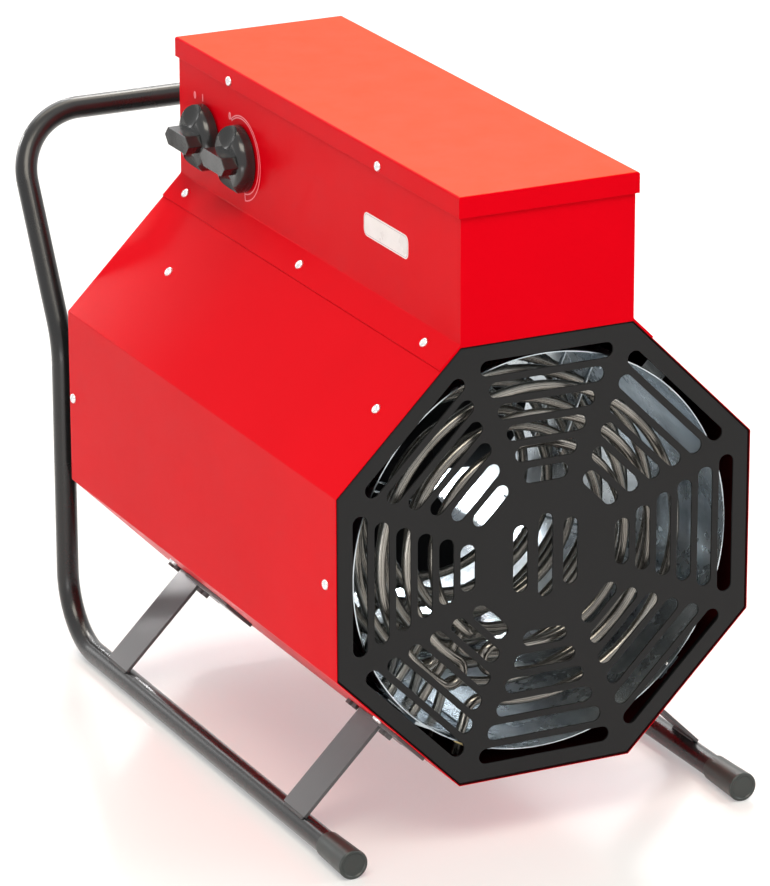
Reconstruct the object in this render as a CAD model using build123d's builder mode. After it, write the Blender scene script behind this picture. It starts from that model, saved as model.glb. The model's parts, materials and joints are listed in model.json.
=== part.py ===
from build123d import *
import math
import os

os.makedirs("parts", exist_ok=True)

# Forced air heater on a bent tube stand. Millimetres, +Z up, the outlet grille faces -Y.
# The origin is on the floor, under the middle of the whole heater.
# A depth is a distance behind the casing's front edge.

# Driving dimensions
casing_width = 380.0  # across the flats of the octagonal casing
casing_length = 547.0
axis_height = 247.5  # casing axis above the floor
sheet = 1.2  # casing and control box
fold_r = 2.2  # outside of a fold in that sheet
overall_depth = 707.0  # foot caps to handle
foot_overhang = 14.0  # foot caps in front of the casing
box_height = 124.3  # control box above the casing, without its lid
lid_lip = 16.5
drum_r = 171.5
tube_r = 10.0
tube_sides = 16
stand_half_width = 182.0  # to the tube's centre line
running = 0.05  # radial clearance of a turning shaft

# Worked out from them
front = foot_overhang - overall_depth / 2  # y of the casing's front edge
casing_apothem = casing_width / 2
half_side = casing_apothem * math.tan(math.radians(22.5))
inner_apothem = casing_apothem - sheet
casing_top = axis_height + casing_apothem
lid_top = casing_top + box_height + sheet


def facing_front(depth, height=axis_height):
    """Plane across the heater as seen from the front: local x is +X, local y is up."""
    return Plane(origin=(0, front + depth, height), x_dir=(1, 0, 0), z_dir=(0, -1, 0))


def on_panel(angle, depth, out=0.0):
    """Plane on a casing panel: local x runs rearwards, y round the casing, z outwards."""
    normal = Vector(math.cos(math.radians(angle)), 0, math.sin(math.radians(angle)))
    origin = Vector(0, front + depth, axis_height) + normal * (casing_apothem + out)
    return Plane(origin=origin, x_dir=(0, 1, 0), z_dir=normal)


def on_box_side(side, depth, height, out=0.0):
    """Plane on a side wall of the control box, its z pointing out of the wall."""
    origin = (side * (half_side + out), front + depth, casing_top + height)
    return Plane(origin=origin, x_dir=(0, 1, 0), z_dir=(side, 0, 0))


def octagon(apothem, mode=Mode.ADD):
    return RegularPolygon(apothem, 8, major_radius=False, rotation=22.5, mode=mode)


def round_slot(length, width, rotation):
    """Cut a slot whose round ends are laid out in flats, five to an end."""
    middle = length / 2 - width / 2
    ends = [(middle, turn) for turn in range(-90, 91, 36)]
    ends += [(-middle, turn) for turn in range(90, 271, 36)]
    outline = [Vector(x, 0) + Vector(width / 2, 0).rotate(Axis.Z, turn) for x, turn in ends]
    Polygon(outline, rotation=rotation, align=None, mode=Mode.SUBTRACT)


def save(piece, label):
    piece.part.label = label
    export_step(piece.part, f"parts/{label}.step")


# Casing: a folded octagonal wrapper, open at both ends, with a wiring hole under the box
wiring_hole_length = 120.0
wiring_hole_width = 70.0
wiring_hole_depth = 330.0

with BuildPart() as casing_shell:
    with BuildSketch(facing_front(0)) as wrapper:
        octagon(casing_apothem)
        fillet(wrapper.vertices(), fold_r)
        offset(amount=-sheet, mode=Mode.SUBTRACT)
    extrude(amount=-casing_length)
    with BuildSketch(on_panel(90, wiring_hole_depth)):
        Rectangle(wiring_hole_length, wiring_hole_width)
    extrude(amount=-2 * sheet, mode=Mode.SUBTRACT)
save(casing_shell, "casing_shell")

# Front grille: eight sectors of round-ended slots between parallel spokes
grille_depth = 0.5
grille_thickness = 2.0
grille_return = 22.0  # the folded edge that the side screws go into
slot_rows = 6
slot_width = 13.4
slot_pitch = 19.4
first_slot = 71.0  # apothem of the innermost slots' centre line
spoke_width = 18.4
hub_slot_pitch = 23.0
hub_slot_length = 72.0
hub_slot_step = 14.0  # each slot beside the middle one is shorter by this

with BuildPart() as front_grille:
    with BuildSketch(facing_front(grille_depth)) as plate:
        octagon(inner_apothem)
        fillet(plate.vertices(), fold_r)
        for row in range(slot_rows):
            apothem = first_slot + row * slot_pitch
            length = 2 * apothem * math.tan(math.radians(22.5)) - spoke_width
            with PolarLocations(apothem, 8):
                round_slot(length, slot_width, rotation=90)
        for place in (-1, 0, 1):
            with Locations((place * hub_slot_pitch, 0)):
                round_slot(hub_slot_length - abs(place) * hub_slot_step, slot_width, rotation=90)
    extrude(amount=-grille_thickness)
    with BuildSketch(facing_front(grille_depth + grille_thickness)) as folded_edge:
        octagon(inner_apothem)
        fillet(folded_edge.vertices(), fold_r)
        octagon(inner_apothem - grille_thickness, mode=Mode.SUBTRACT)
    extrude(amount=-(grille_return - grille_thickness))
save(front_grille, "front_grille")

# Rear panel: an octagonal plate with the round air inlet and a folded edge
rear_depth = casing_length - 2.5
rear_thickness = 1.5
rear_return = 24.0
inlet_r = 164.0
inlet_sides = 60  # the inlet is laid out in flats

with BuildPart() as rear_panel:
    with BuildSketch(facing_front(rear_depth)) as plate:
        octagon(inner_apothem)
        fillet(plate.vertices(), fold_r)
        RegularPolygon(inlet_r, inlet_sides, mode=Mode.SUBTRACT)
    extrude(amount=-rear_thickness)
    with BuildSketch(facing_front(rear_depth - rear_return)) as folded_edge:
        octagon(inner_apothem)
        fillet(folded_edge.vertices(), fold_r)
        octagon(inner_apothem - rear_thickness, mode=Mode.SUBTRACT)
    extrude(amount=-rear_return)
save(rear_panel, "rear_panel")

# Rear guard: upright wires across the inlet, welded to two level wires
guard_wire_r = 1.5
guard_pitch = 15.0
guard_wires_each_side = 10
guard_reach = inlet_r + 7
guard_level = 62.0  # the level wires' distance above and below the axis
guard_depth = rear_depth + rear_thickness + guard_wire_r


def guard_half_chord(aside):
    return math.sqrt(guard_reach**2 - aside**2)


with BuildPart() as rear_guard:
    for wire in range(-guard_wires_each_side, guard_wires_each_side + 1):
        aside = wire * guard_pitch
        with BuildSketch(Plane.XY.offset(axis_height)):
            with Locations((aside, front + guard_depth)):
                RegularPolygon(guard_wire_r, 6)
        extrude(amount=guard_half_chord(aside), both=True)
    with BuildSketch(Plane.YZ):
        for level in (-guard_level, guard_level):
            with Locations((front + guard_depth + 1.6 * guard_wire_r, axis_height + level)):
                RegularPolygon(guard_wire_r, 6, rotation=30)
    extrude(amount=guard_half_chord(guard_level), both=True)
save(rear_guard, "rear_guard")

# Inner drum: the galvanised air duct, with a window for the element ends in its lower
# left side
drum_wall = 1.0
drum_front = 8.0
leads_angle = 243.0
layer_depths = (30.0, 75.0, 120.0, 165.0, 210.0)
lead_back = 15.0  # the inner end of an element comes out behind its own rings
window_width = 70.0
window_length = layer_depths[-1] - layer_depths[0] + lead_back + 30
window_depth = (layer_depths[-1] + layer_depths[0] + lead_back) / 2


def at_angle(angle, depth, radius):
    """Plane square to a radius of the casing axis: local x rearwards, z outwards."""
    return on_panel(angle, depth, out=radius - casing_apothem)


with BuildPart() as inner_drum:
    with BuildSketch(facing_front(drum_front)):
        Circle(drum_r)
        Circle(drum_r - drum_wall, mode=Mode.SUBTRACT)
    extrude(amount=-(rear_depth - drum_front))
    with BuildSketch(at_angle(leads_angle, window_depth, drum_r + 5)):
        Rectangle(window_length, window_width)
    extrude(amount=-20, mode=Mode.SUBTRACT)
save(inner_drum, "inner_drum")

# Drum clips: folded clips between the drum and the four slope panels, front and rear
slope_angles = (45, 135, 225, 315)
clip_depths = {"front": 39.0, "rear": 450.0}
clip_length = 22.0
clip_width = 24.0
clip_sheet = 1.5

for end, depth in clip_depths.items():
    with BuildPart() as drum_clips:
        for angle in slope_angles:
            with BuildSketch(at_angle(angle, depth, drum_r)):
                Rectangle(clip_length, clip_width)
            extrude(amount=clip_sheet)
            with BuildSketch(at_angle(angle, depth, inner_apothem)):
                Rectangle(clip_length, clip_width)
            extrude(amount=-clip_sheet)
            with BuildSketch(at_angle(angle, depth + clip_length / 2, drum_r)):
                Rectangle(clip_sheet, clip_width, align=(Align.MAX, Align.CENTER))
            extrude(amount=inner_apothem - drum_r)
    save(drum_clips, f"drum_clips_{end}")

# Heating elements: one steel rod to a layer, bent into three concentric rings by two
# U-bends beside the gap, with both ends led out through the window. Each rod is one
# unbroken hexagonal tube, its rings laid out in short straight chords.
rod_r = 4.5
rod_apothem = rod_r * math.cos(math.radians(30))
ring_radii = (136.0, 112.0, 88.0)
gap_half_angle = 9.0
chord_length = 45.0
bend_chords = 4
bend_r = 12.0
rod_end_r = 186.0


def polar(radius, angle):
    """Point across the casing axis, as seen from the front."""
    return Vector(radius * math.cos(math.radians(angle)), radius * math.sin(math.radians(angle)))


def arc_points(centre, first, second, turn, chords):
    """Points of an arc that starts at centre + first and turns towards centre + second."""
    steps = [math.radians(turn) * i / chords for i in range(chords + 1)]
    return [centre + first * math.cos(step) + second * math.sin(step) for step in steps]


def ring_points(radius, start, end):
    """Points after the start of a ring, up to its end, a chord apart."""
    chords = round(math.radians(abs(end - start)) * radius / chord_length)
    return [polar(radius, start + (end - start) * i / chords) for i in range(1, chords + 1)]


def element_route():
    """Centre line across the axis, from the outer end to the end of the inner ring."""
    near, far = leads_angle + gap_half_angle, leads_angle - gap_half_angle + 360
    outer, middle, inner = ring_radii
    near_out, far_out = polar(1, near), polar(1, far)
    near_round, far_round = polar(bend_r, near + 90), polar(bend_r, far + 90)
    start = near_out * (outer + bend_r)
    route = [near_out * rod_end_r - near_round]
    route += arc_points(start, -near_round, -near_out * bend_r, 90, bend_chords // 2)
    route += ring_points(outer, near, far)[:-1]
    route += arc_points(far_out * (outer - bend_r), far_out * bend_r, far_round, 180, bend_chords)
    route += ring_points(middle, far, near)[:-1]
    centre = near_out * (middle - bend_r)
    route += arc_points(centre, near_out * bend_r, -near_round, 180, bend_chords)
    route += ring_points(inner, near, far)
    return route


def least_gap(line, thickness, apart):
    """Least clear distance between stretches of a line that lie apart along it."""
    spots = []
    for start, end in zip(line, line[1:]):
        steps = math.ceil((end - start).length / thickness)
        spots += [start + (end - start) * (i / steps) for i in range(steps)]
    away = math.ceil(apart / thickness)
    pairs = ((a, b) for i, a in enumerate(spots) for b in spots[i + away:])
    return min((a - b).length for a, b in pairs) - thickness


def bar_section(radius, sides, origin, direction, x_dir):
    """Regular section of a rod or tube, square to its direction, a vertex along x_dir."""
    with BuildSketch(Plane(origin=origin, x_dir=x_dir, z_dir=direction)) as section:
        RegularPolygon(radius, sides)
    return section.sketch


def rod_section(origin, direction, x_dir=(0, 1, 0)):
    """Hexagon with two flats square to x_dir."""
    plane = Plane(origin=origin, x_dir=x_dir, z_dir=direction)
    return bar_section(rod_r, 6, origin, direction, plane.x_dir.rotate(Axis(origin, direction), 30))


route = [Vector(p.X, front, axis_height + p.Y) for p in element_route()]
back = Vector(0, lead_back, 0)
outwards = (route[-1] - Vector(0, front, axis_height)).normalized()
lead_reach = rod_end_r - ring_radii[-1]
rod_line = route + [route[-1] + back, route[-1] + back + outwards * lead_reach]
element_gap = least_gap(rod_line, 2 * rod_r, apart=2 * math.pi * bend_r)
print(f"least gap of a heating element to itself: {element_gap:.1f} mm")

elements = []
for number, layer in enumerate(layer_depths, start=1):
    points = [p + Vector(0, layer, 0) for p in route]
    before = points[:1] + points[:-1]
    after = points[1:] + points[-1:]
    inner_end = points[-1]
    with BuildPart() as heating_element:
        loft([rod_section(p, b - a) for a, p, b in zip(before, points, after)], ruled=True)
        elbow = rod_section(inner_end - Vector(0, rod_apothem, 0), back, x_dir=(1, 0, 0))
        extrude(elbow, amount=lead_back + 2 * rod_apothem)
        extrude(rod_section(inner_end + back, outwards), amount=lead_reach)
    save(heating_element, f"heating_element_{number}")
    elements.append(heating_element.part)

# Terminal plate: a flat plate over the window, with a hole for every rod end
plate_seat = math.sqrt(drum_r**2 - (window_width / 2) ** 2)
plate_thickness = 3.0
plate_width = window_width + 8
plate_length = window_length - 2
terminal_nut_height = 5.0
leads_plane = at_angle(leads_angle, window_depth, plate_seat)

with BuildPart() as terminal_plate:
    with BuildSketch(leads_plane):
        Rectangle(plate_length, plate_width)
    extrude(amount=plate_thickness)
    for element in elements:
        add(element, mode=Mode.SUBTRACT)
save(terminal_plate, "terminal_plate")

with BuildPart() as terminal_nuts:
    for depth in layer_depths:
        for end, back_by in ((route[0], 0), (rod_line[-1], lead_back)):
            foot = leads_plane.to_local_coords(end)
            spot = leads_plane.from_local_coords(Vector(0, foot.Y, plate_thickness))
            outer_end = Plane(origin=(spot.X, front + depth + back_by, spot.Z), x_dir=(0, 1, 0),
                              z_dir=leads_plane.z_dir)
            with BuildSketch(outer_end):
                RegularPolygon(9, 6)
            extrude(amount=terminal_nut_height)
    for element in elements:
        add(element, mode=Mode.SUBTRACT)
save(terminal_nuts, "terminal_nuts")

# Element supports: radial combs inside the drum, with a finger behind every layer
support_angles = {"right": -22.5, "top": 67.5, "left": 157.5}
support_sheet = 1.5
finger_width = 4.0
finger_reach = ring_radii[-1] - 8
spine_width = 14.0
spine_outer = drum_r - drum_wall
spine_front = layer_depths[0] - 8
spine_rear = layer_depths[-1] + 14

for place, angle in support_angles.items():
    across = (math.sin(math.radians(angle)), 0, -math.cos(math.radians(angle)))
    radial = Plane(origin=(0, front, axis_height), x_dir=(0, 1, 0), z_dir=across)
    with BuildPart() as element_support:
        with BuildSketch(radial):
            with Locations((spine_front, spine_outer)):
                Rectangle(spine_rear - spine_front, spine_width, align=(Align.MIN, Align.MAX))
            for layer in layer_depths:
                with Locations((layer + rod_apothem, finger_reach)):
                    length = spine_outer - finger_reach - 1
                    Rectangle(finger_width, length, align=(Align.MIN, Align.MIN))
        extrude(amount=support_sheet / 2, both=True)
        with BuildSketch(facing_front(spine_front)):
            Circle(spine_outer)
        extrude(amount=-(spine_rear - spine_front), mode=Mode.INTERSECT)
    save(element_support, f"element_support_{place}")

# Thermal cut-out: a snap disc on top of the drum
cutout_depth = 180.0

with BuildPart() as thermal_cutout:
    with BuildSketch(at_angle(90, cutout_depth, drum_r)):
        Rectangle(32, 16)
    extrude(amount=1.2)
    with BuildSketch(at_angle(90, cutout_depth, drum_r + 1.2)):
        RegularPolygon(8, 16)
    extrude(amount=8)
    with BuildSketch(at_angle(90, cutout_depth, drum_r + 9)):
        with GridLocations(10, 0, 2, 1):
            Rectangle(1, 6)
    extrude(amount=5)
save(thermal_cutout, "thermal_cutout")

# Axial fan: five pressed blades, hollow towards the outlet, on a hub that turns on the
# motor shaft. Each blade is narrower at its root.
fan_depth = 352.0
hub_r = 38.0
hub_length = 40.0
blade_count = 5
blade_phase = -4.0  # degrees from +X to the first blade, at rest
blade_root_r = hub_r - 6
blade_tip_r = 155.0
blade_thickness = 1.8
blade_chord = 118.0
blade_pitch = 26.0
blade_camber = 10.0
root_width = 62.0
tip_half_angle = 24.0
tip_steps = 4
shoulder_r = 127.0  # where the root's taper meets the full width
shaft_r = 5.0
shaft_front = 322.0
motor_front = 400.0
motor_length = 85.0
motor_r = 48.0
motor_sides = 40
boss_r = 14.0
boss_length = 8.0
nut_thickness = 6.0


def blade_section(angle):
    """Curved blade section square to the radius at its root, at an angle round the fan."""
    out = Vector(math.cos(math.radians(angle)), 0, math.sin(math.radians(angle)))
    round_fan = Vector(-out.Z, 0, out.X)
    origin = Vector(0, front + fan_depth, axis_height) + out * blade_root_r
    ends = [Vector(side * blade_chord / 2, 0).rotate(Axis.Z, blade_pitch) for side in (-1, 1)]
    bow = Vector(0, blade_camber).rotate(Axis.Z, blade_pitch)
    thick = Vector(0, blade_thickness).rotate(Axis.Z, blade_pitch)
    with BuildSketch(Plane(origin=origin, x_dir=round_fan, z_dir=out)) as section:
        with BuildLine():
            face = ThreePointArc(ends[0], bow, ends[1])
            back = ThreePointArc(ends[0] + thick, bow + thick, ends[1] + thick)
            Line(face @ 0, back @ 0)
            Line(face @ 1, back @ 1)
        make_face()
    return section.sketch


def blade_outline():
    """Outline of a blade from the front: a tapered root, square shoulders, a round tip."""
    half = blade_tip_r * math.sin(math.radians(tip_half_angle))
    turns = [tip_half_angle * step / tip_steps for step in range(-tip_steps, tip_steps + 1)]
    shoulders = [Vector(shoulder_r, half), Vector(shoulder_r, -half)]
    roots = [Vector(blade_root_r, root_width / 2), Vector(blade_root_r, -root_width / 2)]
    tip = [polar(blade_tip_r, turn) for turn in turns]
    return tip + [shoulders[0], roots[0], roots[1], shoulders[1]]


with BuildPart() as fan_impeller:
    for blade in range(blade_count):
        angle = blade_phase + 360 / blade_count * blade
        extrude(blade_section(angle), amount=blade_tip_r - blade_root_r)
    with BuildSketch(facing_front(fan_depth - hub_length)):
        with PolarLocations(0, blade_count, start_angle=blade_phase):
            Polygon(blade_outline(), align=None)
    extrude(amount=-2 * hub_length, mode=Mode.INTERSECT)
    with BuildSketch(facing_front(fan_depth - hub_length / 2)):
        Circle(hub_r)
    extrude(amount=-hub_length)
    with BuildSketch(facing_front(fan_depth - hub_length)):
        Circle(shaft_r)
    extrude(amount=-2 * hub_length, mode=Mode.SUBTRACT)
save(fan_impeller, "fan_impeller")

shaft_length = motor_front + 60 - shaft_front
with BuildPart() as motor_shaft:
    with BuildSketch(facing_front(shaft_front)):
        Circle(shaft_r)
    extrude(amount=-shaft_length)
save(motor_shaft, "motor_shaft")

with BuildPart() as fan_nut:
    with BuildSketch(facing_front(fan_depth - hub_length / 2 - nut_thickness)):
        RegularPolygon(8, 6, major_radius=False)
        RegularPolygon(shaft_r, 24, major_radius=False, mode=Mode.SUBTRACT)
    extrude(amount=-nut_thickness)
save(fan_nut, "fan_nut")

with BuildPart() as fan_motor:
    with BuildSketch(facing_front(motor_front)):
        RegularPolygon(motor_r, motor_sides)
    extrude(amount=-motor_length)
    with BuildSketch(facing_front(motor_front - boss_length)):
        RegularPolygon(boss_r, 24)
    extrude(amount=-boss_length)
    with BuildSketch(facing_front(motor_front - boss_length)):
        Circle(shaft_r + running)
    extrude(amount=-(boss_length + 62), mode=Mode.SUBTRACT)
save(fan_motor, "fan_motor")

# Motor bracket: a flat spider behind the motor, its feet turned along the drum wall
bracket_depth = motor_front + motor_length
bracket_sheet = 3.0
arm_width = 20.0
bracket_foot = 24.0
foot_out = drum_r - drum_wall - 0.4

with BuildPart() as motor_bracket:
    with BuildSketch(facing_front(bracket_depth)):
        RegularPolygon(motor_r, motor_sides)
        for angle in slope_angles[:2]:
            Rectangle(2 * foot_out, arm_width, rotation=angle)
        RegularPolygon(motor_r / 2, motor_sides, mode=Mode.SUBTRACT)
    extrude(amount=-bracket_sheet)
    for angle in slope_angles:
        with BuildSketch(at_angle(angle, bracket_depth, foot_out)):
            Rectangle(bracket_foot, arm_width, align=(Align.MIN, Align.CENTER))
        extrude(amount=-bracket_sheet)
save(motor_bracket, "motor_bracket")

with BuildPart() as motor_bolts:
    with BuildSketch(facing_front(bracket_depth + bracket_sheet)):
        with PolarLocations(motor_r * 0.75, 4, start_angle=45):
            RegularPolygon(4.5, 6)
    extrude(amount=-3.5)
save(motor_bolts, "motor_bolts")

# Control box: side walls bent out into flanges on the slope panels, with end walls
flange_width = 25.0
knob_height = 48.6  # above the casing's top panel
knob_depths = {"thermostat": 416.0, "switch": 491.0}
shaft_hole_r = 6.0
gland_height = 62.0
gland_x = 36.0
gland_hole_r = 10.0

with BuildPart() as control_box:
    with BuildSketch(facing_front(0, casing_top)):
        with Locations((0, box_height / 2)):
            Rectangle(2 * half_side, box_height)
            Rectangle(2 * (half_side - sheet), box_height, mode=Mode.SUBTRACT)
        for side in (-1, 1):
            corner = Vector(side * half_side, 0)
            down = Vector(side, -1).normalized() * flange_width
            lift = Vector(side, 1).normalized() * sheet
            with BuildLine():
                Polyline(corner, corner + down, corner + down + lift,
                         corner + Vector(0, lift.length * math.sqrt(2)), close=True)
            make_face()
    extrude(amount=-casing_length)
    for depth in (0, casing_length - sheet):
        with BuildSketch(facing_front(depth, casing_top)):
            with Locations((0, box_height / 2)):
                Rectangle(2 * half_side - sheet, box_height)
        extrude(amount=-sheet)
    for depth in knob_depths.values():
        with BuildSketch(on_box_side(-1, depth, knob_height, out=1)):
            Circle(shaft_hole_r)
        extrude(amount=-3 * sheet, mode=Mode.SUBTRACT)
    with BuildSketch(facing_front(casing_length - 3 * sheet, casing_top)):
        with Locations((gland_x, gland_height)):
            RegularPolygon(gland_hole_r, 24)
    extrude(amount=-5 * sheet, mode=Mode.SUBTRACT)
save(control_box, "control_box")

# Box lid: a shallow folded lid over the outside of the box walls
lid_gap = 1.5
lid_half_width = half_side + lid_gap + sheet
lid_length = casing_length + 2 * (lid_gap + sheet)

with BuildPart() as box_lid:
    with BuildSketch(Plane.XY.offset(lid_top)):
        with Locations((0, front + casing_length / 2)):
            Rectangle(2 * lid_half_width, lid_length)
    extrude(amount=-(lid_lip + sheet))
    fillet(box_lid.faces().sort_by(Axis.Z)[-1].edges(), fold_r)
    offset(amount=-sheet, openings=box_lid.faces().sort_by(Axis.Z)[0])
save(box_lid, "box_lid")

# Knobs, each on a shaft that turns in the switch or thermostat behind the wall
knob_r = 29.5
knob_sides = 24
knob_skirt = 6.0
knob_face_r = 22.0
knob_face = 15.0
grip_height = 27.5
grip_length = 51.0
grip_width = 16.0
grip_point = 7.0
scoop_r = 19.0
knob_gap = 1.0
body_depth = 44.0
body_width = 46.0
control_shaft_r = 3.0


def outside_wall(depth, out):
    return on_box_side(-1, depth, knob_height, out=out)


for name, depth in knob_depths.items():
    with BuildPart() as knob:
        with BuildSketch(outside_wall(depth, knob_gap)):
            RegularPolygon(knob_r, knob_sides)
        extrude(amount=knob_face)
        top = knob.faces().sort_by(Axis.X)[0]
        chamfer(top.edges(), knob_r - knob_face_r, knob_face - knob_skirt, reference=top)
        scoop_at = outside_wall(depth, knob_gap + knob_skirt + scoop_r - 2).origin
        with BuildSketch(Plane(origin=scoop_at, x_dir=(0, 0, 1), z_dir=(0, 1, 0))):
            with GridLocations(grip_width + 2 * scoop_r, 0, 2, 1):
                RegularPolygon(scoop_r, knob_sides)
        extrude(amount=2 * knob_r, both=True, mode=Mode.SUBTRACT)
        with BuildSketch(outside_wall(depth, knob_gap)):
            tip, square = grip_length / 2, grip_length / 2 - grip_point
            half = grip_width / 2
            Polygon((-tip, 0), (-square, -half), (square, -half), (tip, 0), (square, half),
                    (-square, half), align=None)
        extrude(amount=grip_height)
        with BuildSketch(outside_wall(depth, knob_gap)):
            Circle(control_shaft_r)
        extrude(amount=grip_height - 8, mode=Mode.SUBTRACT)
    save(knob, f"{name}_knob")

    with BuildPart() as shaft:
        with BuildSketch(outside_wall(depth, knob_gap + grip_height - 8)):
            Circle(control_shaft_r)
        extrude(amount=-(knob_gap + grip_height - 8 + sheet + body_depth - 12))
    save(shaft, f"{name}_shaft")

with BuildPart() as rotary_switch:
    with BuildSketch(outside_wall(knob_depths["switch"], -sheet)):
        Rectangle(body_width, body_width)
    extrude(amount=-5)
    with BuildSketch(outside_wall(knob_depths["switch"], -sheet - 5)):
        Rectangle(body_width - 8, body_width - 8)
    extrude(amount=-(body_depth - 5))
    for deck in range(3):
        with BuildSketch(outside_wall(knob_depths["switch"], -sheet - 12 - 11 * deck)):
            Rectangle(body_width, body_width - 16)
        extrude(amount=-7)
    with BuildSketch(outside_wall(knob_depths["switch"], 0)):
        Circle(control_shaft_r + running)
    extrude(amount=-(sheet + body_depth - 10), mode=Mode.SUBTRACT)
save(rotary_switch, "rotary_switch")

with BuildPart() as thermostat:
    with BuildSketch(outside_wall(knob_depths["thermostat"], -sheet)):
        Rectangle(body_width, body_width - 12)
    extrude(amount=-16)
    with BuildSketch(outside_wall(knob_depths["thermostat"], -sheet - 16)):
        RegularPolygon(15, 16)
    extrude(amount=-(body_depth - 16))
    with BuildSketch(outside_wall(knob_depths["thermostat"], 0)):
        Circle(control_shaft_r + running)
    extrude(amount=-(sheet + body_depth - 10), mode=Mode.SUBTRACT)
save(thermostat, "thermostat")

# Inside the box: a hat rail on the casing's top panel, with the contactor and terminals
rail_x = 24.0
rail_front, rail_length = 60.0, 200.0
rail_height = 7.5
contactor_depth, terminals_depth = 210.0, 110.0

with BuildPart() as mounting_rail:
    with BuildSketch(facing_front(rail_front, casing_top)):
        with Locations((rail_x, 0)):
            Rectangle(25, 1, align=(Align.CENTER, Align.MIN))
        for side in (-1, 1):
            with Locations((rail_x + side * 12, 0)):
                Rectangle(1, rail_height, align=(Align.CENTER, Align.MIN))
            with Locations((rail_x + side * 14.5, rail_height)):
                Rectangle(6, 1, align=(Align.CENTER, Align.MAX))
    extrude(amount=-rail_length)
save(mounting_rail, "mounting_rail")

with BuildPart() as contactor:
    base = casing_top + rail_height
    with BuildSketch(Plane.XY.offset(base)):
        with Locations((rail_x, front + contactor_depth)):
            Rectangle(74, 45)
    extrude(amount=45)
    with BuildSketch(Plane.XY.offset(base + 45)):
        with Locations((rail_x, front + contactor_depth)):
            Rectangle(46, 38)
    extrude(amount=24)
    with BuildSketch(Plane.XY.offset(base + 45)):
        with Locations((rail_x, front + contactor_depth)):
            with GridLocations(62, 11, 2, 3):
                Rectangle(8, 7)
    extrude(amount=-10, mode=Mode.SUBTRACT)
save(contactor, "contactor")

with BuildPart() as terminal_block:
    with BuildSketch(Plane.XY.offset(casing_top + rail_height)):
        with Locations((rail_x, front + terminals_depth)):
            Rectangle(42, 60)
    extrude(amount=28)
    with BuildSketch(Plane.XY.offset(casing_top + rail_height + 28)):
        with Locations((rail_x, front + terminals_depth)):
            Rectangle(18, 60)
    extrude(amount=12)
    with BuildSketch(Plane.XY.offset(casing_top + rail_height + 28)):
        with Locations((rail_x, front + terminals_depth)):
            with GridLocations(31, 12, 2, 5):
                Rectangle(7, 7)
    extrude(amount=-12, mode=Mode.SUBTRACT)
save(terminal_block, "terminal_block")

# Cable gland in the rear wall, with its lock nut inside the box
cord_hole_r = 6.5
gland_rear = casing_length

with BuildPart() as cable_gland:
    with BuildSketch(facing_front(gland_rear - 12, casing_top + gland_height)):
        with Locations((gland_x, 0)):
            RegularPolygon(gland_hole_r, 24)
    extrude(amount=-12)
    for start, length, size, sides in ((0, 7, 13.0, 6), (7, 3, 10.5, 12), (10, 14, 12.0, 12)):
        with BuildSketch(facing_front(gland_rear + start, casing_top + gland_height)):
            with Locations((gland_x, 0)):
                RegularPolygon(size, sides, major_radius=False)
        extrude(amount=-length)
    with BuildSketch(facing_front(gland_rear - 12, casing_top + gland_height)):
        with Locations((gland_x, 0)):
            Circle(cord_hole_r)
    extrude(amount=-40, mode=Mode.SUBTRACT)
save(cable_gland, "cable_gland")

with BuildPart() as gland_nut:
    with BuildSketch(facing_front(gland_rear - sheet - 5, casing_top + gland_height)):
        with Locations((gland_x, 0)):
            RegularPolygon(13, 6, major_radius=False)
            RegularPolygon(gland_hole_r, 24, mode=Mode.SUBTRACT)
    extrude(amount=-5)
save(gland_nut, "gland_nut")

# Stand: one bent tube, from a foot back along the floor, up behind the casing, leaning
# back to the handle and down the other side
foot_r = 12.8  # the feet are thicker than the tube, so the tube falls towards the rear
corner_r = 60.0
kink_r = 80.0
handle_r = 63.0
bend_step = 12.0  # degrees of a bend to each straight chord
upright_depth = 581.0
kink_height = axis_height + 38.5
lean = 29.0
handle_depth = overall_depth - foot_overhang - tube_r
handle_height = kink_height + (handle_depth - upright_depth) / math.tan(math.radians(lean))
foot_wall = 5.0
foot_cap_length = 48.0
foot_edge = 2.0
foot_taper = 1.3
fall = (foot_r - tube_r) / (upright_depth - corner_r + foot_overhang)


def skid_height(depth):
    """Height of the tube's centre line above the floor, along a skid."""
    return foot_r - fall * (depth + foot_overhang)


def stand_points(side):
    """Corners of the centre line on one side, from the foot to the handle."""
    places = (
        (foot_wall - foot_overhang, skid_height(foot_wall - foot_overhang)),
        (upright_depth, skid_height(upright_depth)),
        (upright_depth, kink_height),
        (handle_depth, handle_height),
    )
    return [Vector(side * stand_half_width, front + depth, height) for depth, height in places]


def stations(line):
    """Places and directions along a filleted line, a small turn apart."""
    places = []
    for stretch in line.order_edges():
        turn = (stretch % 0).get_angle(stretch % 1)
        chords = max(1, round(turn / bend_step))
        places += [(stretch @ (i / chords), stretch % (i / chords)) for i in range(chords)]
    return places + [(line @ 1, line % 1)]


stand_line = stand_points(-1) + stand_points(1)[::-1]

with BuildPart() as stand_tube:
    with BuildLine() as centre_line:
        FilletPolyline(stand_line, radius=[corner_r, kink_r, handle_r, handle_r, kink_r, corner_r])
    across = Vector(1, 0, 0)
    sections = []
    for place, direction in stations(centre_line.wires()[0]):
        across = (across - direction * across.dot(direction)).normalized()
        sections.append(bar_section(tube_r, tube_sides, place, direction, across))
    loft(sections, ruled=True)
save(stand_tube, "stand_tube")

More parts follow.
